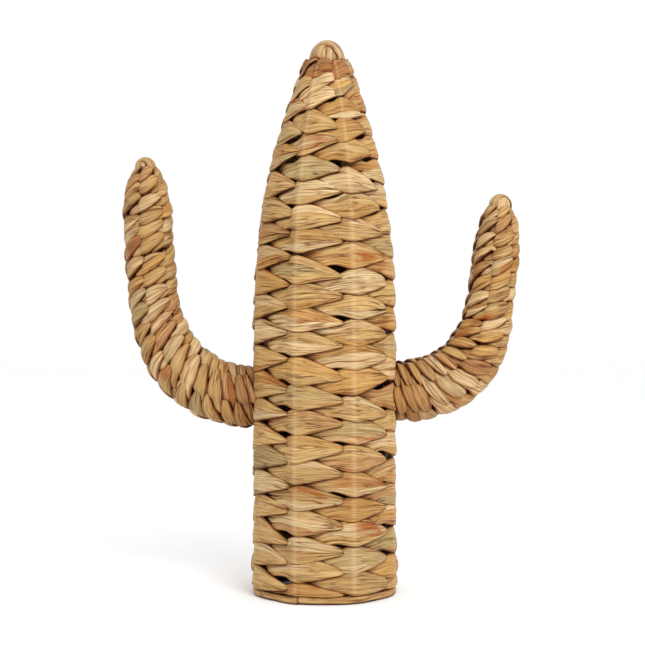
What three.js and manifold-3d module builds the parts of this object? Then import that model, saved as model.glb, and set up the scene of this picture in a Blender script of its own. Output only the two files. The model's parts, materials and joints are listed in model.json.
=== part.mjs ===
// A free-standing cactus ornament: an octagonal trunk with two upturned arms, twined from flat plant
// stalks over a welded wire frame. The trunk is hollow and open below.
// Millimetres, +Z up, the front faces -Y, origin under the middle of the bounding box.
import * as THREE from 'three';
import { mergeVertices } from 'three/addons/utils/BufferGeometryUtils.js';
import Module from 'manifold-3d';

// Overall size
const HEIGHT = 620;
const TRUNK_RADIUS = 85; // over the weave, at the eight corners
const GAP = 0.3; // between pieces that touch
const WALL = 4.5; // thickness of the trunk's weave
const ARM_WALL = 6; // the arms are woven from bulkier stalks
const ARM_CLEARANCE = 1; // between the arms' wires and their weave, which bend together

// Trunk outline: straight up to the shoulder, then an ogive
const SHOULDER_Z = 270;
const OGIVE_DEPTH = 0.82; // share of the radius lost by the very top
const OGIVE_POWER = 2.45;
const LEAN = 3.4; // the tip stands this far to the right of the base
const LEAN_FROM_Z = 300;

// Wire frame
const SIDES = 8;
const HALF_SIDE = Math.PI / SIDES; // the first corner stands half a side from the front
const STAKE_R = 2;
const RING_R = 1.75;
const ARM_WIRE_R = 1.5;
const WIRE_FACETS = 6;
const STAKE_STEPS = 16;
const STAKE_TOP_Z = 590;
const STAKE_INSET = WALL + GAP + STAKE_R;
const RINGS = { lower: 172, upper: 276, shoulder: 430, crown: 584 };

// Binding round the foot
const FOOT_HEIGHT = 9;
const FOOT_FLOOR = 2.5; // thickness of the part that the ornament stands on
const FOOT_INNER_R = 70;
const FOOT_PROUD = 0.5;

// Trunk weave, in four bands of courses, and the knot that closes it
const BAND_TOPS = { lower: 178, middle: 268, upper: 430, crown: 596 };
const BAND_STEP = 28;
const KNOT_R = 24;
const KNOT_FACETS = 16;

// Arms
const ARM_WIRES = 6;
const ARM_COLLAR_R = 25; // the wires start on this circle, between the two side stakes
const ARM_SPREAD = [12, 55]; // and spread to their place under the weave between these distances
const ARM_SKIN_FACETS = 12;
const ARM_ROOT_R = 37;
const ARM_NARROWS = [70, 195]; // distance from the root where the arm starts and ends narrowing
const ARM_TIP_TAPER = 78;
const ARM_KNOT = 16; // length of the knot at the tip
const ARM_WIRE_END = 24; // the wires stop this far short of the tip
const ARM_STEPS = 20;
const ARM_BANDS = { root: 0.25, elbow: 0.5, upright: 1 }; // where each band of weave ends
const ELBOW_RING_AT = 0.33; // share of the arm's length
const UPRIGHT_RING_AT = 0.68;
const COLLAR_X = apothem(TRUNK_RADIUS - STAKE_INSET) - STAKE_R - GAP - RING_R;
const ARM_START_X = COLLAR_X + RING_R + GAP;
const ARM_SKIN_X = apothem(TRUNK_RADIUS) + GAP;
const ARMS = [
  {
    name: 'left_arm', side: -1, rootZ: 219, uprightR: 29.5,
    rootHandle: 140, bendHandle: [172, 256], bend: [186, 300],
    riseHandle: [197, 335], tipHandle: [199, 420], tip: [202, 488.5],
  },
  {
    name: 'right_arm', side: 1, rootZ: 225, uprightR: 27.5,
    rootHandle: 130, bendHandle: [168, 246], bend: [182, 302],
    riseHandle: [190, 336], tipHandle: [194, 395], tip: [199.5, 447],
  },
];

const steel = new THREE.MeshStandardMaterial({ color: 0x4a4540, roughness: 0.5, metalness: 0.9 });
const straw = new THREE.MeshStandardMaterial({ color: 0xc49c67, roughness: 0.7, metalness: 0 });

const wasm = await Module();
wasm.setup();
const model = new THREE.Group();

// Distance from the axis to the middle of a side of the octagon whose corners stand at r
function apothem(r) {
  return r * Math.cos(HALF_SIDE);
}

function cornerAngle(k) {
  return HALF_SIDE + (2 * Math.PI * k) / SIDES;
}

function trunkRadius(z) {
  const t = Math.max(0, (z - SHOULDER_Z) / (HEIGHT - SHOULDER_Z));
  return TRUNK_RADIUS * (1 - OGIVE_DEPTH * t ** OGIVE_POWER);
}

// Radius at a depth under the outline, measured square to it
function radiusUnder(z, depth) {
  const slope = trunkRadius(z + 0.5) - trunkRadius(z - 0.5);
  return trunkRadius(z) - depth * Math.hypot(1, slope);
}

function leanAt(z) {
  const t = Math.max(0, (z - LEAN_FROM_Z) / (HEIGHT - LEAN_FROM_Z));
  return LEAN * t * t;
}

// Tilts the upper trunk to one side by moving each vertex with its height
function leanGeometry(geometry) {
  const position = geometry.attributes.position;
  for (let i = 0; i < position.count; i += 1) {
    position.setX(i, position.getX(i) + leanAt(position.getZ(i)));
  }
  return geometry;
}

function addPiece(name, geometry, material) {
  const mesh = new THREE.Mesh(geometry, material);
  mesh.name = name;
  model.add(mesh);
  return mesh;
}

// A body of revolution about +Z, with its first corner at an angle from the front
function turned(profile, facets, firstCorner) {
  const points = profile.map(([r, z]) => new THREE.Vector2(r, z));
  return new THREE.LatheGeometry(points, facets, firstCorner).rotateX(Math.PI / 2);
}

// A round wire along a curve
function wire(curve, radius, steps) {
  const section = new THREE.Shape();
  for (let i = 0; i < WIRE_FACETS; i += 1) {
    const a = (2 * Math.PI * i) / WIRE_FACETS;
    section[i === 0 ? 'moveTo' : 'lineTo'](radius * Math.cos(a), radius * Math.sin(a));
  }
  return new THREE.ExtrudeGeometry(section, { steps, extrudePath: curve, curveSegments: 1 });
}

// Heights from one z to another, in equal steps of at most BAND_STEP
function levels(from, to) {
  const count = Math.ceil((to - from) / BAND_STEP);
  return Array.from({ length: count + 1 }, (_, i) => from + ((to - from) * i) / count);
}

function toManifold(geometry) {
  const bare = new THREE.BufferGeometry();
  bare.setAttribute('position', geometry.attributes.position.clone());
  if (geometry.index) bare.setIndex(geometry.index.clone());
  const merged = mergeVertices(bare, 1e-4);
  return new wasm.Manifold(new wasm.Mesh({
    numProp: 3,
    vertProperties: new Float32Array(merged.attributes.position.array),
    triVerts: new Uint32Array(merged.index.array),
  }));
}

function fromManifold(manifold) {
  const mesh = manifold.getMesh();
  const geometry = new THREE.BufferGeometry();
  geometry.setAttribute('position', new THREE.BufferAttribute(mesh.vertProperties, 3));
  geometry.setIndex(new THREE.BufferAttribute(mesh.triVerts, 1));
  return geometry;
}

// Trunk frame: stakes that run from the foot to the tip, and rings inside them

class StakeCurve extends THREE.Curve {
  constructor(angle) {
    super();
    this.angle = angle;
  }

  getPoint(t, target = new THREE.Vector3()) {
    const z = THREE.MathUtils.lerp(FOOT_FLOOR + GAP, STAKE_TOP_Z, t);
    const r = radiusUnder(z, STAKE_INSET);
    return target.set(r * Math.sin(this.angle), -r * Math.cos(this.angle), z);
  }
}

function trunkStakes() {
  for (let k = 0; k < SIDES; k += 1) {
    const geometry = wire(new StakeCurve(cornerAngle(k)), STAKE_R, STAKE_STEPS);
    addPiece(`trunk_stake_${k + 1}`, leanGeometry(geometry), steel);
  }
}

// An octagonal wire ring whose corners rest on the inner side of the stakes
function trunkRing(name, z) {
  const r = radiusUnder(z, STAKE_INSET + STAKE_R + GAP + RING_R);
  const geometry = new THREE.TorusGeometry(r, RING_R, WIRE_FACETS, SIDES);
  geometry.rotateZ(HALF_SIDE).translate(0, 0, z);
  addPiece(name, leanGeometry(geometry), steel);
}

function trunkRings() {
  trunkRing('base_ring', FOOT_FLOOR + GAP + RING_R);
  for (const [place, z] of Object.entries(RINGS)) trunkRing(`${place}_ring`, z);
}

// Trunk weave

function footBinding() {
  const outer = TRUNK_RADIUS + FOOT_PROUD;
  const wallInner = TRUNK_RADIUS - WALL;
  const profile = [
    [FOOT_INNER_R, 0], [outer, 0], [outer, FOOT_HEIGHT], [wallInner, FOOT_HEIGHT],
    [wallInner, FOOT_FLOOR], [FOOT_INNER_R, FOOT_FLOOR], [FOOT_INNER_R, 0],
  ];
  addPiece('foot_binding', turned(profile, SIDES, HALF_SIDE), straw);
}

function trunkBand(from, to) {
  const outside = levels(from, to).map((z) => [trunkRadius(z), z]);
  const inside = levels(from, to).map((z) => [radiusUnder(z, WALL), z]).reverse();
  return leanGeometry(turned([...outside, ...inside, outside[0]], SIDES, HALF_SIDE));
}

// The arms' wires pass through the weave of the middle band
function pierceForArms(geometry) {
  let band = toManifold(geometry);
  const r = ARM_WIRE_R + GAP;
  for (const arm of ARMS) {
    for (const angle of armWireAngles()) {
      const hole = new THREE.CylinderGeometry(r, r, 4 * WALL, WIRE_FACETS).rotateZ(Math.PI / 2);
      hole.translate(
        arm.side * (ARM_SKIN_X - WALL / 2),
        ARM_COLLAR_R * Math.cos(angle),
        arm.rootZ + ARM_COLLAR_R * Math.sin(angle),
      );
      band = band.subtract(toManifold(hole));
    }
  }
  return fromManifold(band);
}

function trunkWeave() {
  let from = FOOT_HEIGHT + GAP;
  for (const [place, top] of Object.entries(BAND_TOPS)) {
    const band = trunkBand(from, top - GAP);
    addPiece(`trunk_weave_${place}`, place === 'middle' ? pierceForArms(band) : band, straw);
    from = top;
  }
}

// A solid dome of the given radius and height on the plane z = 0
function dome(radius, height, facets) {
  const rows = 5;
  const profile = [[0, 0]];
  for (let i = 0; i <= rows; i += 1) {
    const a = (Math.PI / 2) * (i / rows);
    profile.push([i === rows ? 0 : radius * Math.cos(a), height * Math.sin(a)]);
  }
  return turned(profile, facets, 0);
}

function trunkKnot() {
  const bottom = BAND_TOPS.crown;
  const geometry = dome(KNOT_R, HEIGHT - bottom, KNOT_FACETS).translate(0, 0, bottom);
  addPiece('trunk_tip_knot', leanGeometry(geometry), straw);
}

// Arms: each follows a centre line in the XZ plane, straight out of the trunk and then upwards

function armPath(arm) {
  const at = ([x, z]) => new THREE.Vector3(arm.side * x, 0, z);
  const start = at([ARM_START_X, arm.rootZ]);
  const skin = at([ARM_SKIN_X, arm.rootZ]);
  const path = new THREE.CurvePath();
  path.add(new THREE.LineCurve3(start, skin));
  path.add(new THREE.CubicBezierCurve3(
    skin, at([arm.rootHandle, arm.rootZ]), at(arm.bendHandle), at(arm.bend),
  ));
  path.add(new THREE.CubicBezierCurve3(
    at(arm.bend), at(arm.riseHandle), at(arm.tipHandle), at(arm.tip),
  ));
  return path;
}

// Radius over the weave at a distance along the centre line
function armRadius(arm, distance) {
  const narrowing = THREE.MathUtils.smoothstep(distance, ...ARM_NARROWS);
  const r = THREE.MathUtils.lerp(ARM_ROOT_R, arm.uprightR, narrowing);
  const toTip = arm.length - distance;
  return toTip < ARM_TIP_TAPER ? r * Math.sqrt(1 - (1 - toTip / ARM_TIP_TAPER) ** 2) : r;
}

function armWireRadius(arm, distance) {
  const underWeave = armRadius(arm, distance) - ARM_WALL - ARM_CLEARANCE - ARM_WIRE_R;
  const spread = THREE.MathUtils.smoothstep(distance, ...ARM_SPREAD);
  return THREE.MathUtils.lerp(ARM_COLLAR_R, underWeave, spread);
}

// Angles round the arm, from the back
function armWireAngles() {
  return Array.from({ length: ARM_WIRES }, (_, i) => (i * 2 * Math.PI) / ARM_WIRES);
}

// Place on the arm: its centre, its direction, and the axes across it, back and in the plane of its bend
function armPlace(arm, distance) {
  const u = distance / arm.length;
  const along = arm.path.getTangentAt(u);
  const back = new THREE.Vector3(0, 1, 0);
  const aside = new THREE.Vector3().crossVectors(along, back);
  return { centre: arm.path.getPointAt(u), along, back, aside };
}

function armPoint(arm, distance, radius, angle) {
  const { centre, back, aside } = armPlace(arm, distance);
  return centre
    .addScaledVector(back, radius * Math.cos(angle))
    .addScaledVector(aside, radius * Math.sin(angle));
}

class ArmWireCurve extends THREE.Curve {
  constructor(arm, angle) {
    super();
    this.arm = arm;
    this.angle = angle;
  }

  getPoint(t) {
    const distance = t * (this.arm.length - ARM_WIRE_END);
    return armPoint(this.arm, distance, armWireRadius(this.arm, distance), this.angle);
  }
}

function armWires(arm) {
  armWireAngles().forEach((angle, i) => {
    const geometry = wire(new ArmWireCurve(arm, angle), ARM_WIRE_R, ARM_STEPS);
    addPiece(`${arm.name}_wire_${i + 1}`, geometry, steel);
  });
}

// A ring inside the arm's wires, square to the centre line
function armRing(arm, place, distance) {
  const { centre, along, back, aside } = armPlace(arm, distance);
  const r = armWireRadius(arm, distance) - 2 * ARM_WIRE_R - GAP;
  const geometry = new THREE.TorusGeometry(r, ARM_WIRE_R, WIRE_FACETS, ARM_SKIN_FACETS);
  geometry.applyMatrix4(new THREE.Matrix4().makeBasis(back, aside, along).setPosition(centre));
  addPiece(`${arm.name}_${place}_ring`, geometry, steel);
}

// The collar that holds the arm's wires lies inside the trunk, against the two side stakes
function armCollar(arm) {
  const geometry = new THREE.TorusGeometry(ARM_COLLAR_R, RING_R, WIRE_FACETS, ARM_SKIN_FACETS);
  geometry.rotateY(Math.PI / 2).translate(arm.side * COLLAR_X, 0, arm.rootZ);
  addPiece(`${arm.name}_collar`, geometry, steel);
}

// Bends a straight turned shape, whose z is distance along the arm, onto the centre line
function bendOnto(arm, geometry) {
  const position = geometry.attributes.position;
  const p = new THREE.Vector3();
  for (let i = 0; i < position.count; i += 1) {
    p.fromBufferAttribute(position, i);
    const bent = armPoint(arm, p.z, Math.hypot(p.x, p.y), Math.atan2(p.y, p.x));
    position.setXYZ(i, bent.x, bent.y, bent.z);
  }
  return geometry;
}

function armBand(arm, from, to) {
  const count = Math.ceil((ARM_STEPS * (to - from)) / arm.length);
  const steps = Array.from({ length: count + 1 }, (_, i) => from + ((to - from) * i) / count);
  const outside = steps.map((d) => [armRadius(arm, d), d]);
  const inside = steps.map((d) => [armRadius(arm, d) - ARM_WALL, d]).reverse();
  return bendOnto(arm, turned([...outside, ...inside, outside[0]], ARM_SKIN_FACETS, 0));
}

function armWeave(arm) {
  const end = arm.length - ARM_KNOT;
  let from = ARM_SKIN_X - ARM_START_X;
  for (const [place, share] of Object.entries(ARM_BANDS)) {
    const to = end * share;
    addPiece(`${arm.name}_weave_${place}`, armBand(arm, from, to - GAP), straw);
    from = to;
  }
}

function armKnot(arm) {
  const start = arm.length - ARM_KNOT;
  const straight = dome(armRadius(arm, start), ARM_KNOT, ARM_SKIN_FACETS).translate(0, 0, start);
  addPiece(`${arm.name}_tip_knot`, bendOnto(arm, straight), straw);
}

function addArm(arm) {
  armWires(arm);
  armCollar(arm);
  armRing(arm, 'elbow', arm.length * ELBOW_RING_AT);
  armRing(arm, 'upright', arm.length * UPRIGHT_RING_AT);
  armWeave(arm);
  armKnot(arm);
}

ARMS.forEach((arm) => {
  arm.path = armPath(arm);
  arm.length = arm.path.getLength();
});
trunkStakes();
trunkRings();
footBinding();
trunkWeave();
trunkKnot();
ARMS.forEach(addArm);

// Put the origin under the middle of the box
const middle = new THREE.Box3().setFromObject(model).getCenter(new THREE.Vector3());
model.position.set(-middle.x, -middle.y, 0);

export default model;
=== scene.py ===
"""Looks of the woven cactus ornament: flat dried stalks twined round a wire frame.

Sizes are millimetres until a mesh is made. Heights are distances along a wall: upwards on the
trunk, outwards from the root on an arm.
"""

import json
import math
from dataclasses import dataclass

import bpy
import numpy as np
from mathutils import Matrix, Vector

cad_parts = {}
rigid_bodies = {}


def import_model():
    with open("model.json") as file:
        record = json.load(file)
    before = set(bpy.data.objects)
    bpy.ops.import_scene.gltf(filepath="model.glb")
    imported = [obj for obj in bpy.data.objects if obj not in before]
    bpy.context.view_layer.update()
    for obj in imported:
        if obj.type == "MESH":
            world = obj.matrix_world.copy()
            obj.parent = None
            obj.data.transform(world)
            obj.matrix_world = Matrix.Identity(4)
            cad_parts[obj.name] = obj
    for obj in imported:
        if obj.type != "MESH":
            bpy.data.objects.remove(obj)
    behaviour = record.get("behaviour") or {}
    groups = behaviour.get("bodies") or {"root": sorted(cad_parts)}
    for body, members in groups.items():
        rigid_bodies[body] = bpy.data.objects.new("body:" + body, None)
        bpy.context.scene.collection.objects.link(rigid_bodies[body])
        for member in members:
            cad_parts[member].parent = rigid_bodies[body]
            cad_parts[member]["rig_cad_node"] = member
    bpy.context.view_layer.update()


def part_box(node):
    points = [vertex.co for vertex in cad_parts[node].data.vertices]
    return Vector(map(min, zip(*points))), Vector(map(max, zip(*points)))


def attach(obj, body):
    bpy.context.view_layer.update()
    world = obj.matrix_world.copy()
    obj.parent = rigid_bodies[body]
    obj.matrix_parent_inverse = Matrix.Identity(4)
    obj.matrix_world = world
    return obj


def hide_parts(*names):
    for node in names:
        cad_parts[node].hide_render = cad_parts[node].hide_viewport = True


MM = 0.001
rng = np.random.default_rng(11)

# The CAD part's outline
SIDES = 8
HALF_SIDE = math.pi / SIDES
HEIGHT = 620
TRUNK_RADIUS = 85
SHOULDER_Z = 270
OGIVE_DEPTH = 0.82
OGIVE_POWER = 2.45
LEAN = 3.4
LEAN_FROM_Z = 300
STAKE_INSET = 6.8
FOOT_TOP = 9
FOOT_RADIUS = 80.6
TRUNK_TOP = 596
TRUNK_BANDS = {  # the CAD's bands of weave, with their tops; the last one takes what is left
    "trunk_weave_lower": 178, "trunk_weave_middle": 268, "trunk_weave_upper": 430,
    "trunk_weave_crown": math.inf,
}
ARM_WIRES = 6
ARM_START_X = 70.25
ARM_SKIN_X = 78.83
ARM_ROOT_R = 37
ARM_NARROWS = (70, 195)  # the arm narrows between these distances from its root
ARM_TIP_TAPER = 78  # and is drawn in to its tip over this length
ARM_KNOT = 16  # length of the CAD's knot at the tip
ARM_WIRE_INSET = 8.5
ARM_BANDS = {"root": 0.25, "elbow": 0.5, "upright": math.inf}  # shares of the way to the knot

# An arm's centre line is two Bezier curves. Their points give x from the trunk's axis, and z.
LEFT_ARM = {
    "side": -1, "upright_radius": 29.5,
    "bend": ((ARM_SKIN_X, 219), (140, 219), (172, 256), (186, 300)),
    "rise": ((186, 300), (197, 335), (199, 420), (202, 488.5)),
    "full_courses": 17, "cap": {"radius": 12, "height": 13, "turned": 20},
}
RIGHT_ARM = {
    "side": 1, "upright_radius": 27.5,
    "bend": ((ARM_SKIN_X, 225), (130, 225), (168, 246), (182, 302)),
    "rise": ((182, 302), (190, 336), (194, 395), (199.5, 447)),
    "full_courses": 15, "cap": {"radius": 13, "height": 14, "turned": 70},
}

# Courses and caps
TRUNK_PITCHES = [27] * 17 + [26, 25, 24, 23, 23]
TRUNK_CAP = {"radius": 20, "height": 24, "turned": 15}
ARM_FIRST_PITCHES = [11, 12, 14]
ARM_PITCH = 16
ARM_WEAVE_START = 4
CAP_OVERLAP = 2  # the last course goes this far past the start of its cap


def smoothstep(x, lo, hi):
    t = np.clip((x - lo) / (hi - lo), 0, 1)
    return t * t * (3 - 2 * t)


def unit(v):
    return v / np.maximum(np.linalg.norm(v, axis=-1, keepdims=True), 1e-9)


def distances(points):
    """How far along a line each of its points lies."""
    return np.r_[0, np.cumsum(np.linalg.norm(np.diff(points, axis=0), axis=-1))]


# Walls: tubes of wires that the stalks are twined round


class Wall:
    """A subclass gives wires, inset (of the wires under the outline), full_depth_radius (from
    which the stalks weave fully in and out), radius(h), bulge(h), which is how far they swell
    outwards half way between two wires, and frame(wire, h): the centre, the direction along the
    wall and the direction outwards to a wire."""

    def depth(self, h):
        """How far the stalks weave in and out, which is less where the wires draw together."""
        return np.clip(self.radius(h) / self.full_depth_radius, 0.5, 1)

    def point(self, wire, h, out):
        """Points `out` mm outside the line of a wire, square to the outline, at heights h."""
        centre, along, away = self.frame(wire, h)
        slope = self.radius(h + 0.5) - self.radius(h - 0.5)
        reach = (out - self.inset) / np.sqrt(1 + slope**2)
        return centre + away * (self.radius(h) + reach)[..., None] - along * (reach * slope)[..., None]


class TrunkWall(Wall):
    wires = SIDES
    inset = STAKE_INSET
    full_depth_radius = 70

    def __init__(self, axis_x):
        self.axis_x = axis_x

    def radius(self, h):
        t = np.clip((h - SHOULDER_Z) / (HEIGHT - SHOULDER_Z), 0, 1)
        return TRUNK_RADIUS * (1 - OGIVE_DEPTH * t**OGIVE_POWER)

    def frame(self, wire, h):
        lean = LEAN * np.clip((h - LEAN_FROM_Z) / (HEIGHT - LEAN_FROM_Z), 0, 1) ** 2
        angle = HALF_SIDE + 2 * math.pi * wire / SIDES
        centre = np.stack([self.axis_x + lean, 0 * h, h], -1)
        away = np.array([np.sin(angle), -np.cos(angle), 0])
        return centre, np.array([0.0, 0, 1]), away

    def bulge(self, h):
        """The foot is round, the octagon only comes out above it, and the last course is puffed."""
        foot = 3 * (1 - smoothstep(h, 5, 75))
        crown = 1.5 * smoothstep(h, 550, 585)
        return 2.5 + foot + crown


def bezier(p0, p1, p2, p3, t):
    t = t[:, None]
    return (1 - t) ** 3 * p0 + 3 * (1 - t) ** 2 * t * p1 + 3 * (1 - t) * t**2 * p2 + t**3 * p3


class ArmWall(Wall):
    wires = ARM_WIRES
    inset = ARM_WIRE_INSET
    full_depth_radius = 24

    def __init__(self, axis_x, arm):
        t = np.linspace(0, 1, 200)
        bend, rise = (bezier(*np.array(arm[name], float), t) for name in ("bend", "rise"))
        start = (ARM_START_X, bend[0, 1])
        path = np.concatenate([[start], bend, rise[1:]])
        path[:, 0] = axis_x + arm["side"] * path[:, 0]
        self.path = path
        self.distance = distances(path)
        self.length = self.distance[-1]
        self.direction = unit(np.gradient(path, self.distance, axis=0))
        self.upright_radius = arm["upright_radius"]

    def radius(self, h):
        narrowed = smoothstep(h, *ARM_NARROWS)
        r = ARM_ROOT_R + (self.upright_radius - ARM_ROOT_R) * narrowed
        taper = np.clip(1 - (self.length - h) / ARM_TIP_TAPER, 0, 0.999)
        return r * np.sqrt(1 - taper**2)

    def frame(self, wire, h):
        x, z = (np.interp(h, self.distance, self.path[:, i]) for i in (0, 1))
        dx, dz = (np.interp(h, self.distance, self.direction[:, i]) for i in (0, 1))
        centre = np.stack([x, 0 * x, z], -1)
        along = np.stack([dx, 0 * x, dz], -1)
        back = np.array([0.0, 1, 0])
        aside = np.stack([-dz, 0 * x, dx], -1)
        angle = 2 * math.pi * wire / ARM_WIRES
        return centre, along, np.cos(angle) * back + np.sin(angle) * aside

    def bulge(self, h):
        return 0.09 * self.radius(h)


# Slabs: flat stalks with thickness


def slab(middle, top, bottom):
    """Closes a stalk round a grid of points: rows run along it and columns across it. Its hidden
    side has only every third column. Returns its points, its faces and each point's row and
    column."""
    rows, columns = middle.shape[:2]
    normal = unit(np.cross(np.gradient(middle, axis=0), np.gradient(middle, axis=1)))
    under = np.arange(columns - 3, 1, -3)
    outer = middle + normal * top[..., None]
    inner = middle - normal * bottom[..., None]
    points = np.concatenate([outer, inner[:, under]], axis=1)
    ring = points.shape[1]
    a = (np.arange(rows - 1)[:, None] * ring + np.arange(ring)).ravel()
    b = (np.arange(rows - 1)[:, None] * ring + np.roll(np.arange(ring), -1)).ravel()
    faces = np.stack([a, b, b + ring, a + ring], -1)[:, ::-1].tolist()
    faces.append(list(range(ring)))
    faces.append(list(range((rows - 1) * ring, rows * ring))[::-1])
    column = np.r_[np.arange(columns), under]
    where = np.repeat(np.arange(rows), ring), np.tile(column, rows)
    return points.reshape(-1, 3), faces, where


class Piece:
    """Gathers slabs into one mesh with the attributes that the stalk material reads."""

    def __init__(self, name):
        self.name = name
        self.points = []
        self.faces = []
        self.values = {value: [] for value in ("strand", "tint", "edge", "ridge", "stain")}
        self.count = 0

    def add(self, middle, top, bottom, **values):
        """Adds one slab. Each value is a grid over its rows and columns, or broadcasts to one."""
        points, faces, (row, column) = slab(middle, top, bottom)
        self.points.append(points)
        self.faces += [[i + self.count for i in face] for face in faces]
        self.count += len(points)
        shape = middle.shape[:2]
        for name, value in values.items():
            grid = np.broadcast_to(value, shape + np.shape(value)[2:])
            self.values[name].append(grid[row, column])

    def set_values(self, mesh):
        for name in ("edge", "ridge", "stain"):
            attribute = mesh.attributes.new(name, "FLOAT", "POINT")
            attribute.data.foreach_set("value", np.concatenate(self.values[name]).astype(np.float32))
        tint = np.concatenate(self.values["tint"])
        attribute = mesh.attributes.new("tint", "FLOAT_COLOR", "POINT")
        attribute.data.foreach_set("color", np.c_[tint, np.ones(len(tint))].astype(np.float32).ravel())
        corner = np.zeros(len(mesh.loops), np.int32)
        mesh.loops.foreach_get("vertex_index", corner)
        strand = np.concatenate(self.values["strand"])[corner]
        mesh.uv_layers.new(name="Strand").data.foreach_set("uv", strand.astype(np.float32).ravel())

    def build(self, material):
        mesh = bpy.data.meshes.new(self.name)
        mesh.from_pydata((np.concatenate(self.points) * MM).tolist(), [], self.faces)
        mesh.polygons.foreach_set("use_smooth", [True] * len(mesh.polygons))
        self.set_values(mesh)
        mesh.materials.append(material)
        obj = bpy.data.objects.new(self.name, mesh)
        bpy.context.scene.collection.objects.link(obj)
        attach(obj, "root")
        return obj


# Stalk colours, linear


def linear(r, g, b):
    c = np.array([r, g, b]) / 255
    return np.where(c < 0.04045, c / 12.92, ((c + 0.055) / 1.055) ** 2.4)


STRAW = linear(204, 176, 122)
PALE_STRAW = linear(218, 198, 156)
GOLDEN = linear(201, 164, 103)
GREENISH_BEIGE = linear(189, 171, 124)
PINKISH_TAN = linear(193, 154, 107)
OLD_BROWN = linear(155, 102, 52)
STAIN_BROWN = linear(152, 84, 22)
SPECK_BROWN = linear(110, 62, 30)
# Pale of the ridge over a wire: partly wear, partly a painted highlight
WORN_AND_HIGHLIT_PALE = linear(226, 196, 150)
TINTS = [STRAW, PALE_STRAW, GOLDEN, GREENISH_BEIGE, PINKISH_TAN]
TINT_SHARES = [0.40, 0.26, 0.18, 0.11, 0.05]
STAINED_SHARE = 0.17  # of strips that are strongly stained


def pick_tint(brown):
    """A strip's colour and stain; brown from 0 to 1 draws it towards the brown of old stalks."""
    colour = TINTS[rng.choice(len(TINTS), p=TINT_SHARES)]
    colour = colour * rng.uniform(0.88, 1.1)
    stain = rng.uniform(0.75, 1) if rng.random() < STAINED_SHARE else rng.uniform(0, 0.3)
    return colour + (OLD_BROWN - colour) * brown * rng.uniform(0.4, 1), stain


# Twining


@dataclass
class Weave:
    """How the stalks of a wall are twined. Where it doesn't say mm, lengths along a run are in
    wire spacings and lengths across it in courses. A pair is a least and a most, unless it says
    otherwise, and a random slope, height or place is given by its standard deviation."""

    outside: float  # mm that a run stands outside its own wire
    inside: float  # mm that it goes inside the wires beside it
    thick: float  # mm from a strip's middle surface to its top
    under: float  # mm from its middle surface to its underside
    tilt: float  # mm that its lower edge stands out, and its upper edge in
    fold_depth: float  # mm, of one lengthwise crease
    folds: int  # the most creases in a strip
    bend: float  # length to each side of a wire where a run bends round it
    width: tuple  # of a whole run
    neck: tuple  # share of the width lost where a run comes out, on the left
    tip: tuple  # share of the width lost at its tip, on the right
    tip_power: float  # how late it narrows to its tip
    arch: tuple  # how far its left end and its right end hang
    slant: float  # courses that a stalk climbs in one turn of the wall
    top_slant: float  # extra slope where the wires draw together
    slope: float  # random slope
    wander: float  # random height
    drift: float  # random place along the run of its neck and tip
    strips: tuple  # shares of runs with one, two and three strips
    cross: float  # the most that strips side by side cross, in half widths of the run
    shade: tuple  # painted shade at a strip's edges: how dark its soft part is, and the power of its sharp one
    ridge: float  # strength of the pale ridge over a wire, partly wear and partly a painted highlight
    rows: int  # points along a strip
    columns: int  # points across it


TRUNK_WEAVE = Weave(
    outside=3.9, inside=4.8, thick=2.1, under=1.3, tilt=1.1, fold_depth=1.0, folds=5, bend=0.07,
    width=(1.13, 1.22), neck=(0.28, 0.4), tip=(0.84, 0.94), tip_power=1.2, arch=(0.25, 0.12),
    slant=0, top_slant=0.8, slope=0.12, wander=0.065, drift=0.03, strips=(0.22, 0.48, 0.3),
    cross=0.5, shade=(0.12, 9), ridge=1, rows=37, columns=27,
)
ARM_WEAVE = Weave(
    outside=4.2, inside=3.4, thick=3.9, under=2.2, tilt=1.3, fold_depth=0.7, folds=3, bend=0.17,
    width=(1.15, 1.38), neck=(0.28, 0.4), tip=(0.72, 0.84), tip_power=1.8, arch=(0.1, 0.05),
    slant=5, top_slant=0, slope=0.14, wander=0.1, drift=0.07, strips=(0.66, 0.3, 0.04),
    cross=0.3, shade=(0.34, 5), ridge=0, rows=27, columns=21,
)
REACH = 1.08  # a run goes this far to each side of its wire, in wire spacings
CUTS = ((), ((-0.45, 0.45),), ((-0.5, -0.2), (0.2, 0.5)))  # places of the cuts for 1, 2 or 3 strips
OVERLAP = 0.26  # strips side by side go this far past the cut, in half widths of the run
USUAL_WIDTH = 14  # mm, of a strip with its full thickness
LOWEST_CENTRE = -0.35  # in courses: a run centred lower would hardly show


def hat(x):
    """1 at 0, falling evenly to 0 at -1 and at 1."""
    return np.maximum(0, 1 - np.abs(x))


def outwards(s):
    """1 where a run lies outside its own wire and 0 where it is behind the wires beside it. On
    the left it stays just under the run before, and on the right it dives late, to a point."""
    left = 0.62 * smoothstep(s, -1, -0.45) + 0.38 * smoothstep(s, -0.26, -0.02)
    return np.where(s < 0, left, 1 - smoothstep(s, 0.74, 1))


def run_points(wall, weave, wire, s, h, tilt):
    """Middle of a stalk that passes outside one wire and inside the wires beside it."""
    taps = np.linspace(-weave.bend, weave.bend, 7)
    out = outwards(s) * (weave.outside + weave.inside) - weave.inside
    out = out * wall.depth(h) + wall.bulge(h) * np.sin(math.pi * s) ** 2 + tilt
    points = 0
    for r in range(-2, 3):
        share = np.mean([hat(s + tap - r) for tap in taps], axis=0)
        points = points + share[..., None] * wall.point(wire + r, h, out)
    return points


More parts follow.
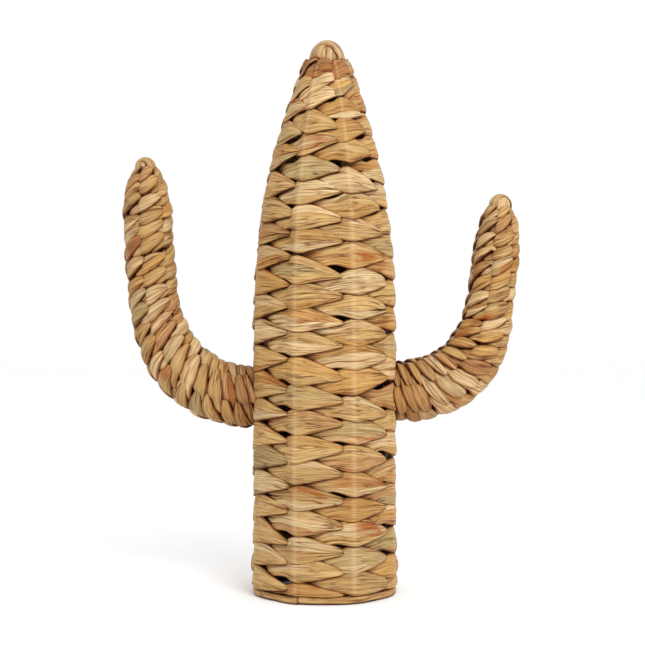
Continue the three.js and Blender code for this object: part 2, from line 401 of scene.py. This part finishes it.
def run_width(weave, s, taper):
    """Width along a run: full over its wire, narrowed on the left where it comes out and to a
    tip on the right, and full again where it is hidden. With less taper it is stubbier."""
    neck = rng.uniform(*weave.neck) * smoothstep(-s, -0.05, 0.35) * (1 - smoothstep(-s, 0.4, 0.8))
    tip = rng.uniform(*weave.tip) * np.clip((s - 0.05) / 0.8, 0, 1) ** weave.tip_power
    behind = 0.8 * smoothstep(s, 0.84, 1)
    return rng.uniform(*weave.width) * (1 - taper * (neck + tip) + behind)


def ripple(x, size):
    """A smooth random line, about `size` high, over x from -1 to 1."""
    waves = [
        (rng.uniform(0.6, 1) / n, n * rng.uniform(1.5, 2.5), rng.uniform(0, 6.3)) for n in (1, 2, 4)
    ]
    return size * sum(a * np.sin(f * x + p) for a, f, p in waves)


def folds(weave, s, u):
    """Depth of the lengthwise creases in a stalk, from 0 to about 1."""
    depth = 0
    for _ in range(rng.integers(1, weave.folds + 1)):
        line = rng.uniform(-0.8, 0.8) + ripple(s, 0.12)
        width = rng.uniform(0.05, 0.14)
        reach = smoothstep(rng.uniform(-1, 1) * s, -0.4, 0.5)
        depth = depth + reach * rng.uniform(0.3, 1) * np.exp(-(((u - line) / width) ** 2))
    return depth


def cuts(weave):
    """Splits a run into strips: pairs of edges across it, from -1 to 1."""
    ranges = CUTS[rng.choice(len(CUTS), p=weave.strips)]
    edges = [-1, *(rng.uniform(*limits) for limits in ranges), 1]
    return list(zip(edges[:-1], edges[1:]))


def section(u):
    """Thickness across a stalk, 1 in the middle and 0 at its edges, which are blunt."""
    return (1 - np.abs(u) ** 9) ** 0.5 * (1 - 0.34 * u**2)


def widths(middle):
    """How wide a stalk is at each of its rows."""
    return np.linalg.norm(middle[:, -1] - middle[:, 0], axis=-1)[:, None]


def add_strip(piece, middle, u, crown, under, kept, **values):
    """Adds one strip whose middle surface is given. The material places its pattern by the
    distances along and across the strip, which start anywhere."""
    centre_line = middle[:, middle.shape[1] // 2]
    along = distances(centre_line)[:, None] + rng.uniform(0, 900)
    across = widths(middle) * u / 2 + rng.uniform(0, 900)
    shape = section(u)
    top = kept * np.maximum(crown * shape, 0.2 * shape)
    strand = np.stack(np.broadcast_arrays(along, across), -1)
    piece.add(middle, top, kept * shape * under, strand=strand, **values)


def edge_shade(weave, s, u, crease):
    """Painted shade: how dark a strip is at its edges, in its creases and where its ends go behind a
    wire.
    """
    soft, sharp = weave.shade
    rim = soft * np.abs(u) ** 3 + (1.1 - soft) * np.abs(u) ** sharp
    ends = 0.7 * smoothstep(s, 0.74, 0.88) + 0.4 * smoothstep(-s, 0.4, 0.8)
    return np.maximum(rim, 0.9 * np.clip(crease, 0, 1) ** 2) + ends


def strip_place(weave, s, u, low, high):
    """Where a strip's points lie across its run. Strips side by side overlap and cross."""
    cross = weave.cross * rng.uniform(-1, 1, 2) * np.sin(1.4 * s)
    low_edge = low + ripple(s, 0.04) - (low > -1) * (OVERLAP + cross[:, :1])
    high_edge = high + ripple(s, 0.04) + (high < 1) * (OVERLAP + cross[:, 1:])
    return low_edge + np.maximum(high_edge - low_edge, 0.12) * (u + 1) / 2


def strip_crown(weave, middle, s, u):
    """Thickness above a strip's middle surface, which is less in a narrow strip and at its ends,
    and uneven across it."""
    crown = weave.thick * np.clip(widths(middle) / USUAL_WIDTH, 0.55, 1.15) + rng.uniform(0, 0.8)
    return crown * (1 - 0.4 * smoothstep(np.abs(s), 0.6, 1)) + rng.normal(0, 0.35) * u


def add_run(piece, wall, weave, heights, wire, centre, brown_at):
    """One run over a wire, of one to three strips side by side. Its centre is counted in courses,
    and the strips are flattened to nothing beyond the first course and the last."""
    u = np.linspace(-1, 1, weave.columns)[None, :]
    s = np.linspace(-REACH, REACH, weave.rows)[:, None]
    edges = np.arange(heights.size)
    height = np.interp(centre, edges, heights)
    depth = wall.depth(height)
    centre = centre + rng.normal(0, weave.wander / depth)
    slope = weave.slant / wall.wires + rng.normal(0, weave.slope / depth)
    slope += weave.top_slant * (1 - depth)
    sag = np.where(s < 0, *weave.arch) * np.minimum((s / 0.8) ** 2, 1.2)
    width = run_width(weave, s + rng.normal(0, weave.drift), min(1, 1.25 * depth))
    lift = rng.uniform(-0.3, 0.3)
    for low, high in cuts(weave):
        v = strip_place(weave, s, u, low, high)
        phase = centre + slope * s - sag + 0.5 * width * v
        kept = smoothstep(phase, -0.15, 0.05) * smoothstep(edges[-1] - phase, -0.15, 0.05)
        h = np.interp(np.clip(phase, 0, edges[-1]), edges, heights)
        middle = run_points(wall, weave, wire, s, h, (lift - v) * weave.tilt)
        crown = strip_crown(weave, middle, s, u)
        colour, stain = pick_tint(brown_at(height))
        crease = folds(weave, s, u)
        add_strip(
            piece, middle, u, crown - weave.fold_depth * crease, weave.under, kept,
            tint=colour[None, None],
            # edge: painted shade at the strip's edges, in its creases and where it goes behind a wire
            edge=edge_shade(weave, s, u, crease),
            # ridge: pale over the wire, partly wear and partly a painted highlight
            ridge=weave.ridge * np.exp(-((s / 0.022) ** 2)) * (1 - np.abs(u) ** 6),
            stain=stain * (0.5 + 0.5 * np.tanh(2 * ripple(s, 1))),
        )


def spaced(start, end, pitches):
    """Heights of the courses' edges, with a little chance in the spacing."""
    pitches = np.array(pitches, float) * rng.uniform(0.9, 1.1, len(pitches))
    return start + np.r_[0, np.cumsum(pitches)] * (end - start) / pitches.sum()


def weave_courses(name, wall, weave, heights, brown_at, nodes, material):
    """Makes one piece per course, and hides the CAD node that it lies in. Besides the
    weave's slant, the runs of neighbouring wires are half a course apart. Both even out over the
    last few courses."""
    courses = heights.size - 1
    pieces = [Piece(f"{name}_course_{n + 1:02d}") for n in range(courses)]
    for wire in range(wall.wires):
        offset = (wire * (weave.slant / wall.wires + 0.5)) % 1
        for n in range(-1, courses):
            centre = n + 0.5 + offset * (1 - smoothstep(n, courses - 4, courses - 1))
            if centre > LOWEST_CENTRE:
                course = min(max(int(centre), 0), courses - 1)
                add_run(pieces[course], wall, weave, heights, wire, centre, brown_at)
    for n, piece in enumerate(pieces):
        middle = (heights[n] + heights[n + 1]) / 2
        node = next(node for node, top in nodes.items() if middle < top)
        obj = piece.build(material)
        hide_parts(node)


# Ends: the strip round the foot and the folded stalks that close the tips

FOOT_STRIP_PROFILE = (  # from its edge under the foot, as distance past FOOT_RADIUS and height
    (-13.5, 1.1), (-9, 1), (-4, 1), (-1.6, 1.1), (-0.5, 1.7), (-0.1, 3), (0, 5), (-0.2, 9.2),
)
FOOT_STRIP_START = math.radians(-28)  # from the front
FOOT_STRIP_TURNS = 1.02
STRAPS = 4
STRAP_TURN = 135  # degrees from each strap to the one over it
STRAP_SPACING = 0.7  # from each strap to the one over it
STRAP_SIDE_MARGIN = 1.2  # from a cap's radius to the middle surface of its top strap
STRAP_TOP_MARGIN = 1.7  # and the same at its tip
STRAP_END = math.radians(96)  # from the middle of a strap to each end, over the tip
STRAP_HALF_WIDTH = math.radians(46)


def end_values(colour, stain, u):
    # The edge value is painted shade at the strip's edges
    return {"tint": colour[None, None], "edge": np.abs(u) ** 9, "ridge": 0.0, "stain": stain}


def foot_strip(axis_x, material):
    """A flat strip round the foot, turned inwards under it, whose end overlaps its start."""
    turn = np.linspace(0, FOOT_STRIP_TURNS, 145)[:, None]
    angle = 2 * math.pi * turn + FOOT_STRIP_START
    lift = 1.5 * smoothstep(turn, 0.96, 1.0) + ripple(2 * turn - 1, 0.3)
    at = np.linspace(0, 1, 25)[None, :]
    profile = np.array(FOOT_STRIP_PROFILE)
    steps = distances(profile)
    outward, z = (np.interp(at, steps / steps[-1], profile[:, i]) for i in (0, 1))
    corner = np.cos(SIDES * (angle - HALF_SIDE))
    radius = FOOT_RADIUS + corner + lift + outward
    rise = 0.5 * ripple(2 * turn - 1, 1) * at
    x = axis_x + radius * np.sin(angle)
    y = -radius * np.cos(angle)
    middle = np.stack(np.broadcast_arrays(x, y, z + rise), -1)
    u = 2 * at - 1
    piece = Piece("foot_binding_strip")
    crown = 0.9 - 0.2 * folds(TRUNK_WEAVE, 2 * turn - 1, u)
    add_strip(piece, middle, u, crown, 0.8, 1, **end_values(STRAW, 0.35, u))
    obj = piece.build(material)
    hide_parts("foot_binding")


def strap(piece, place, radius, height, turned):
    """A stalk folded over a tip, with its ends running down behind the last course."""
    t = np.linspace(-1, 1, 49)[:, None]
    u = np.linspace(-1, 1, 27)[None, :]
    bend = STRAP_END * t
    slip = STRAP_HALF_WIDTH * (u + ripple(t, 0.1)) * (1 - 0.12 * t**2) + rng.uniform(-0.15, 0.15)
    out = np.sin(bend) * np.cos(slip)
    aside = np.sin(slip)
    up = np.cos(bend) * np.cos(slip) - 0.9 * smoothstep(np.abs(t), 0.88, 1)
    middle = place(
        radius * (out * math.cos(turned) - aside * math.sin(turned)),
        radius * (out * math.sin(turned) + aside * math.cos(turned)),
        height * up,
    )
    crease = folds(TRUNK_WEAVE, t, u)
    values = end_values(PALE_STRAW * rng.uniform(0.85, 1), 0.25, u)
    # Painted shade in the strap's creases
    values["edge"] = np.maximum(values["edge"], 0.6 * np.clip(crease, 0, 1) ** 2)
    add_strip(piece, middle, u, 1.6 - 0.6 * crease, 1.2, 1, **values)


def tip_cap(name, node, wall, start, radius, height, turned, material):
    """Closes the end of a wall above the height `start` with stalks folded over it. The lowest one
    is turned by this many degrees from the wall's first wire, and each next one by STRAP_TURN more."""
    centre, along, away = wall.frame(0, np.array(start, float))
    side = wall.frame(wall.wires / 4, np.array(start, float))[2]

    def place(x, y, z):
        return centre + x[..., None] * away + y[..., None] * side + z[..., None] * along

    piece = Piece(name)
    for n in range(STRAPS):
        under = STRAP_SPACING * (STRAPS - 1 - n)
        strap_radius = radius - STRAP_SIDE_MARGIN - under
        strap_height = height - STRAP_TOP_MARGIN - under
        strap(piece, place, strap_radius, strap_height, math.radians(turned + STRAP_TURN * n))
    obj = piece.build(material)
    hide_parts(node)


# Materials


def new_material(name):
    material = bpy.data.materials.new(name)
    material.use_nodes = True
    tree = material.node_tree
    tree.nodes.clear()
    shader = tree.nodes.new("ShaderNodeBsdfPrincipled")
    output = tree.nodes.new("ShaderNodeOutputMaterial")
    tree.links.new(shader.outputs["BSDF"], output.inputs["Surface"])
    return material, tree, shader


def plug(tree, socket, value):
    """Links another node's output to a socket, or sets the socket's own number."""
    if isinstance(value, bpy.types.NodeSocket):
        tree.links.new(value, socket)
    elif value is not None:
        socket.default_value = value


def attribute(tree, name, output="Fac"):
    node = tree.nodes.new("ShaderNodeAttribute")
    node.attribute_name = name
    return node.outputs[output]


def scaled(tree, vector, scale):
    node = tree.nodes.new("ShaderNodeVectorMath")
    node.operation = "MULTIPLY"
    plug(tree, node.inputs[0], vector)
    node.inputs[1].default_value = scale
    return node.outputs[0]


def noise(tree, vector, scale=1.0, detail=3.0, distortion=0.0):
    node = tree.nodes.new("ShaderNodeTexNoise")
    plug(tree, node.inputs["Vector"], vector)
    node.inputs["Scale"].default_value = scale
    node.inputs["Detail"].default_value = detail
    node.inputs["Roughness"].default_value = 0.55
    node.inputs["Distortion"].default_value = distortion
    return node.outputs["Fac"]


def remap(tree, value, lo, hi, to_lo=0.0, to_hi=1.0):
    node = tree.nodes.new("ShaderNodeMapRange")
    plug(tree, node.inputs["Value"], value)
    for name, number in zip(("From Min", "From Max", "To Min", "To Max"), (lo, hi, to_lo, to_hi)):
        node.inputs[name].default_value = number
    return node.outputs["Result"]


def calculate(tree, operation, a, b=None):
    node = tree.nodes.new("ShaderNodeMath")
    node.operation = operation
    plug(tree, node.inputs[0], a)
    plug(tree, node.inputs[1], b)
    return node.outputs[0]


def mix(tree, factor, a, b, blend="MIX"):
    node = tree.nodes.new("ShaderNodeMix")
    node.data_type = "RGBA"
    node.blend_type = blend
    plug(tree, node.inputs["Factor"], factor)
    plug(tree, node.inputs["A"], a)
    plug(tree, node.inputs["B"], b)
    return node.outputs["Result"]


def rgba(colour):
    return (*colour, 1.0)


def darkened(tree, colour, amount, by):
    """The colour multiplied by another one, as far as the amount says."""
    return mix(tree, amount, colour, rgba(by), "MULTIPLY")


def bump(tree, height, strength, distance, under=None):
    node = tree.nodes.new("ShaderNodeBump")
    node.inputs["Strength"].default_value = strength
    node.inputs["Distance"].default_value = distance
    plug(tree, node.inputs["Height"], height)
    plug(tree, node.inputs["Normal"], under)
    return node.outputs["Normal"]


def crevice(tree, distance):
    """1 in the open and towards 0 in creases narrower than the distance in metres."""
    node = tree.nodes.new("ShaderNodeAmbientOcclusion")
    node.samples = 8
    node.inputs["Distance"].default_value = distance
    return node.outputs["AO"]


def wrinkles(tree, place, scale, thickness):
    """0 on fine lines along the stalk and 1 between them."""
    field = noise(tree, scaled(tree, place, scale), detail=1.5, distortion=0.1)
    away = calculate(tree, "ABSOLUTE", calculate(tree, "SUBTRACT", field, 0.5))
    return remap(tree, away, 0.0, thickness)


def streaked(tree, colour, place, fibre, streak):
    """Broad streaks, fibres and hairlines along the stalk."""
    hairline = wrinkles(tree, place, (0.016, 0.36, 1), 0.06)
    colour = darkened(tree, colour, remap(tree, streak, 0.35, 0.7, 0, 0.7), (0.84, 0.68, 0.46))
    colour = darkened(tree, colour, remap(tree, fibre, 0.35, 0.7, 0, 0.6), (0.6, 0.42, 0.22))
    return darkened(tree, colour, remap(tree, hairline, 0, 1, 0.6, 0), (0.42, 0.24, 0.09))


def spotted(tree, colour, place):
    """Brown stains, as strong as the strip's own value says, and small specks."""
    blotch = noise(tree, scaled(tree, place, (0.022, 0.12, 1)), detail=4, distortion=0.6)
    speck = noise(tree, scaled(tree, place, (0.35, 0.8, 1)), detail=2)
    stain = calculate(tree, "MULTIPLY", attribute(tree, "stain"), remap(tree, blotch, 0.37, 0.58))
    colour = mix(tree, stain, colour, rgba(STAIN_BROWN))
    return mix(tree, remap(tree, speck, 0.66, 0.74, 0, 0.5), colour, rgba(SPECK_BROWN))


def wrinkled(tree, colour, place, wrinkle):
    """Painted shade in creases: dark wrinkle lines, in some stretches of the stalks only."""
    stretch = noise(tree, scaled(tree, place, (0.03, 0.05, 1)), detail=1)
    lines = remap(tree, wrinkle, 0, 1, 0.9, 0)
    amount = calculate(tree, "MULTIPLY", remap(tree, stretch, 0.38, 0.6), lines)
    return darkened(tree, colour, amount, (0.28, 0.12, 0.03))


def worn_and_highlit(tree, colour, fibre):
    """The pale ridge over a wire, broken up by the fibres: partly wear, partly a painted highlight."""
    ridge = calculate(tree, "MULTIPLY", attribute(tree, "ridge"), 0.3)
    amount = calculate(tree, "MULTIPLY", ridge, remap(tree, fibre, 0.3, 0.6))
    return mix(tree, amount, colour, rgba(WORN_AND_HIGHLIT_PALE))


def shadowed(tree, colour):
    """Painted shade: browner towards a strip's edges and creases, and almost black where they close.
    """
    edge = attribute(tree, "edge")
    openness = crevice(tree, 0.004)
    # Painted shade in creases and at edges, from ambient occlusion and the edge value
    near = calculate(tree, "MAXIMUM", remap(tree, openness, 0.95, 0.6), remap(tree, edge, 0.05, 0.4))
    colour = darkened(tree, colour, remap(tree, near, 0, 1, 0, 0.75), (0.62, 0.35, 0.11))
    # Painted shade, almost black, where creases close
    shut = calculate(tree, "MAXIMUM", remap(tree, openness, 0.78, 0.36), remap(tree, edge, 0.25, 1))
    return darkened(tree, colour, shut, (0.12, 0.03, 0.004))


def stalk_material():
    """Dried stalk: each strip's own tint, streaked with fibre, stained, darker at its edges and
    creases with painted shade, and paler on the ridge over a wire with wear and a painted highlight.
    """
    material, tree, shader = new_material("dried_stalk")
    uv = tree.nodes.new("ShaderNodeUVMap")
    uv.uv_map = "Strand"
    place = uv.outputs["UV"]
    fibre = noise(tree, scaled(tree, place, (0.05, 1.1, 1)), detail=4)
    streak = noise(tree, scaled(tree, place, (0.02, 0.3, 1)), detail=3)
    wrinkle = wrinkles(tree, place, (0.012, 0.17, 1), 0.034)
    colour = streaked(tree, attribute(tree, "tint", "Color"), place, fibre, streak)
    colour = spotted(tree, colour, place)
    # Painted shade in the fine wrinkles
    colour = wrinkled(tree, colour, place, wrinkle)
    # Pale ridge over a wire: wear and a painted highlight
    colour = worn_and_highlit(tree, colour, fibre)
    # Painted shade at the edges and in the creases
    plug(tree, shader.inputs["Base Color"], shadowed(tree, colour))
    plug(tree, shader.inputs["Roughness"], remap(tree, fibre, 0.3, 0.7, 0.5, 0.68))
    shader.inputs["Specular IOR Level"].default_value = 0.22
    relief = bump(tree, streak, 0.5, 0.0012)
    relief = bump(tree, wrinkle, 0.6, 0.0008, relief)
    plug(tree, shader.inputs["Normal"], bump(tree, fibre, 0.55, 0.0005, relief))
    return material


def iron_material():
    """Blackened wire with rust in patches."""
    material, tree, shader = new_material("blackened_wire")
    position = tree.nodes.new("ShaderNodeTexCoord").outputs["Object"]
    rust = remap(tree, noise(tree, position, scale=70, detail=5), 0.48, 0.66)
    grain = noise(tree, position, scale=900, detail=3)
    colour = mix(tree, rust, rgba((0.018, 0.014, 0.012)), rgba((0.07, 0.028, 0.012)))
    plug(tree, shader.inputs["Base Color"], colour)
    plug(tree, shader.inputs["Metallic"], remap(tree, rust, 0, 1, 0.4, 0.1))
    plug(tree, shader.inputs["Roughness"], remap(tree, grain, 0.2, 0.8, 0.5, 0.75))
    plug(tree, shader.inputs["Normal"], bump(tree, grain, 0.3, 0.0003))
    return material


def floor_material():
    material, tree, shader = new_material("pale_floor")
    position = tree.nodes.new("ShaderNodeTexCoord").outputs["Object"]
    grain = noise(tree, position, scale=6, detail=3)
    plug(tree, shader.inputs["Base Color"], mix(tree, grain, rgba((0.93,) * 3), rgba((0.95,) * 3)))
    shader.inputs["Roughness"].default_value = 0.9
    shader.inputs["Specular IOR Level"].default_value = 0.1
    shader.inputs["Emission Color"].default_value = (1, 1, 1, 1)
    shader.inputs["Emission Strength"].default_value = 0.05
    return material


# Stage, in metres

FLOOR_HALF = 8
KEY_LIGHT_PLACE = (0.7, -1.5, 1.5)
KEY_LIGHT_TARGET = (0, 0, 0.3)
KEY_LIGHT_SIZE = 0.9
KEY_LIGHT_WATTS = 22
CAMERA_PLACE = (0.0018, -1.49, 0.302)
CAMERA_LENS = 73.8  # mm, on a sensor of 36 mm
CAMERA_SENSOR = 36


def add_floor(material):
    mesh = bpy.data.meshes.new("floor")
    corners = [(x * FLOOR_HALF, y * FLOOR_HALF, 0) for x, y in ((-1, -1), (1, -1), (1, 1), (-1, 1))]
    mesh.from_pydata(corners, [], [(0, 1, 2, 3)])
    mesh.materials.append(material)
    floor = bpy.data.objects.new("floor", mesh)
    bpy.context.scene.collection.objects.link(floor)


def add_lights():
    """A white studio with one soft lamp in front, above and to the right."""
    scene = bpy.context.scene
    world = bpy.data.worlds.new("studio")
    world.use_nodes = True
    background = world.node_tree.nodes["Background"]
    background.inputs["Color"].default_value = (1, 1, 1, 1)
    background.inputs["Strength"].default_value = 1.0
    scene.world = world
    scene.view_settings.view_transform = "Standard"
    light = bpy.data.lights.new("key", "AREA")
    light.size = KEY_LIGHT_SIZE
    light.energy = KEY_LIGHT_WATTS
    obj = bpy.data.objects.new("key", light)
    obj.location = KEY_LIGHT_PLACE
    direction = Vector(KEY_LIGHT_TARGET) - Vector(KEY_LIGHT_PLACE)
    obj.rotation_euler = direction.to_track_quat("-Z", "Y").to_euler()
    scene.collection.objects.link(obj)


def add_camera():
    """A level camera that looks at the front."""
    camera = bpy.data.cameras.new("camera")
    camera.lens = CAMERA_LENS
    camera.sensor_width = CAMERA_SENSOR
    obj = bpy.data.objects.new("camera", camera)
    obj.location = CAMERA_PLACE
    obj.rotation_euler = (math.pi / 2, 0, 0)
    bpy.context.scene.collection.objects.link(obj)
    bpy.context.scene.camera = obj


# The ornament


def trunk_brown(height):
    """The trunk's stalks are brown near its tip."""
    return 0.8 * smoothstep(height, 560, 592) + 0.1


def arm_brown(height):
    """An arm's stalks are brown at its root."""
    return 0.12 + 0.75 * (1 - smoothstep(height, 15, 60))


def weave_trunk(axis_x, stalk):
    wall = TrunkWall(axis_x)
    heights = spaced(FOOT_TOP, TRUNK_TOP + CAP_OVERLAP, TRUNK_PITCHES)
    weave_courses(
        "trunk", wall, TRUNK_WEAVE, heights, trunk_brown, TRUNK_BANDS, stalk,
    )
    foot_strip(axis_x, stalk)
    tip_cap("trunk_tip_cap", "trunk_tip_knot", wall, TRUNK_TOP, **TRUNK_CAP, material=stalk)


def weave_arm(name, arm, axis_x, stalk):
    wall = ArmWall(axis_x, arm)
    cap_start = wall.length - arm["cap"]["height"]
    pitches = ARM_FIRST_PITCHES + [ARM_PITCH] * arm["full_courses"]
    heights = spaced(ARM_WEAVE_START, cap_start + CAP_OVERLAP, pitches)
    to_knot = wall.length - ARM_KNOT
    bands = {f"{name}_weave_{place}": to_knot * share for place, share in ARM_BANDS.items()}
    weave_courses(name, wall, ARM_WEAVE, heights, arm_brown, bands, stalk)
    tip_cap(f"{name}_tip_cap", f"{name}_tip_knot", wall, cap_start, **arm["cap"], material=stalk)


def blacken_wires(iron):
    """The CAD nodes that stay in sight are the wires."""
    for obj in bpy.context.scene.objects:
        if "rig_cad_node" in obj:
            obj.data.materials.clear()
            obj.data.materials.append(iron)


def main():
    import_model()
    low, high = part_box("foot_binding")
    axis_x = (low.x + high.x) / 2 / MM
    stalk = stalk_material()
    weave_trunk(axis_x, stalk)
    weave_arm("left_arm", LEFT_ARM, axis_x, stalk)
    weave_arm("right_arm", RIGHT_ARM, axis_x, stalk)
    blacken_wires(iron_material())
    add_floor(floor_material())
    add_lights()
    add_camera()


main()
